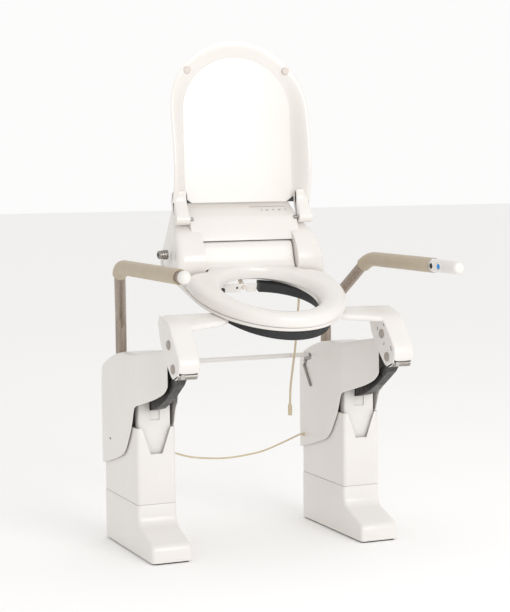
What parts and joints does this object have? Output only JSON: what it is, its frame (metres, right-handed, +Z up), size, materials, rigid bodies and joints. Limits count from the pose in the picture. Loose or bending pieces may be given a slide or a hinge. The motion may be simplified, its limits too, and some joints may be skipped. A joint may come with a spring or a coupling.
{
  "type": "powered raised toilet seat",
  "caption": "Free-standing powered toilet lift: columns at each side raise and tilt a wash seat with lid over a toilet pan, with padded armrests and a hand control.",
  "frame": {"origin": "on the floor under the middle of the bounding box", "axes": "+X to the seated user's left, +Y to the rear, towards the wall, +Z up"},
  "size_m": [0.763, 0.698, 1.3452],
  "materials": {
    "white_abs": "smooth semi-gloss moulded plastic",
    "seat_plastic": "polished moulded plastic",
    "white_enamel": "white powder coat",
    "rubber": "matte black rubber",
    "black_steel": "dark grey coated steel",
    "zinc_steel": "zinc plated",
    "stainless": "brushed stainless tube",
    "chrome": "bright chrome",
    "foam": "beige closed-cell foam",
    "bolt_cap": "grey-brown cap",
    "panel_grey": "satin",
    "cable_sheath": "beige cable sheath",
    "circuit_board": "green laminate",
    "black_button": "satin",
    "blue_button": "gloss"
  },
  "bodies": {
    "base": {"foot_pad_left": "rubber", "foot_left": "white_abs", "lower_housing_left": "white_abs", "guide_rail_left": "black_steel", "actuator_left": "zinc_steel", "cable_gland_left": "cable_sheath", "foot_pad_right": "rubber", "foot_right": "white_abs", "lower_housing_right": "white_abs", "guide_rail_right": "black_steel", "actuator_right": "zinc_steel", "cable_gland_right": "cable_sheath", "link_lead": "cable_sheath"},
    "carriage": {"carriage_frame_left": "black_steel", "actuator_rod_left": "chrome", "shroud_left": "white_abs", "armrest_socket_left": "black_steel", "rear_bracket_left": "zinc_steel", "armrest_tube_left": "stainless", "grip_left": "foam", "carriage_frame_right": "black_steel", "actuator_rod_right": "chrome", "shroud_right": "white_abs", "armrest_socket_right": "black_steel", "rear_bracket_right": "zinc_steel", "armrest_tube_right": "stainless", "grip_right": "foam", "cross_bar": "white_enamel", "end_cap_left": "white_abs", "hand_control": "white_abs"},
    "inner_column_left": {"inner_column_left": "white_enamel", "link_pin_left": "zinc_steel"},
    "inner_column_right": {"inner_column_right": "white_enamel", "link_pin_right": "zinc_steel"},
    "tilt_link_left": {"tilt_link_left": "black_steel"},
    "tilt_link_right": {"tilt_link_right": "black_steel"},
    "seat_frame": {"arm_left": "white_abs", "pivot_bolt_left": "bolt_cap", "link_bolt_left": "bolt_cap", "lid_hinge_pin_left": "zinc_steel", "arm_right": "white_abs", "pivot_bolt_right": "bolt_cap", "link_bolt_right": "bolt_cap", "lid_hinge_pin_right": "zinc_steel", "support_ring": "rubber", "seat_base": "seat_plastic", "ring_hinge_pin": "zinc_steel", "bidet_cover": "seat_plastic", "control_panel": "panel_grey", "heater_tank": "zinc_steel", "control_board": "circuit_board", "water_inlet": "chrome", "bidet_lead": "cable_sheath", "bidet_lead_plug": "panel_grey"},
    "seat_ring": {"seat_ring": "seat_plastic"},
    "lid": {"lid": "seat_plastic"},
    "spray_nozzle": {"spray_nozzle": "seat_plastic"},
    "raise_button": {"raise_button": "black_button"},
    "lower_button": {"lower_button": "blue_button"}
  },
  "joints": [
    {"name": "lift", "type": "slide", "parent": "base", "child": "carriage", "axis": [0, 0, 1], "range_m": [-0.17, 0]},
    {"name": "inner_column_left_slide", "type": "slide", "parent": "base", "child": "inner_column_left", "axis": [0, 0, 1], "range_m": [-0.0855, 0]},
    {"name": "inner_column_right_slide", "type": "slide", "parent": "base", "child": "inner_column_right", "axis": [0, 0, 1], "range_m": [-0.0855, 0]},
    {"name": "tilt", "type": "hinge", "parent": "carriage", "child": "seat_frame", "pos_m": [0, -0.1036, 0.5688], "axis": [1, 0, 0], "range_deg": [-18.1, 0]},
    {"name": "tilt_link_left_hinge", "type": "hinge", "parent": "inner_column_left", "child": "tilt_link_left", "pos_m": [-0.2965, 0.154, 0.4085], "axis": [1, 0, 0], "range_deg": [0, 14.24]},
    {"name": "tilt_link_right_hinge", "type": "hinge", "parent": "inner_column_right", "child": "tilt_link_right", "pos_m": [0.2965, 0.154, 0.4085], "axis": [1, 0, 0], "range_deg": [0, 14.24]},
    {"name": "lid_hinge", "type": "hinge", "parent": "seat_frame", "child": "lid", "pos_m": [0, 0.17801, 0.86902], "axis": [1, 0, 0], "range_deg": [0, 125]},
    {"name": "ring_hinge", "type": "hinge", "parent": "seat_frame", "child": "seat_ring", "pos_m": [0, 0.16404, 0.79035], "axis": [1, 0, 0], "range_deg": [-96, 0]},
    {"name": "nozzle_slide", "type": "slide", "parent": "seat_frame", "child": "spray_nozzle", "axis": [0, -0.788, -0.6157], "range_m": [0, 0.08]},
    {"name": "raise_button_press", "type": "slide", "parent": "carriage", "child": "raise_button", "axis": [1, 0, 0], "range_m": [0, 0.002], "stiffness_N_per_m": 400},
    {"name": "lower_button_press", "type": "slide", "parent": "carriage", "child": "lower_button", "axis": [1, 0, 0], "range_m": [0, 0.002], "stiffness_N_per_m": 400}
  ],
  "couplings": [
    {"joint": "inner_column_left_slide", "follows": "lift", "ratio": 0.5},
    {"joint": "inner_column_right_slide", "follows": "lift", "ratio": 0.5},
    {"joint": "tilt", "follows": "lift", "rad_per_m": 1.848},
    {"joint": "tilt_link_left_hinge", "follows": "lift", "rad_per_m": -1.4513},
    {"joint": "tilt_link_right_hinge", "follows": "lift", "rad_per_m": -1.4513}
  ]
}
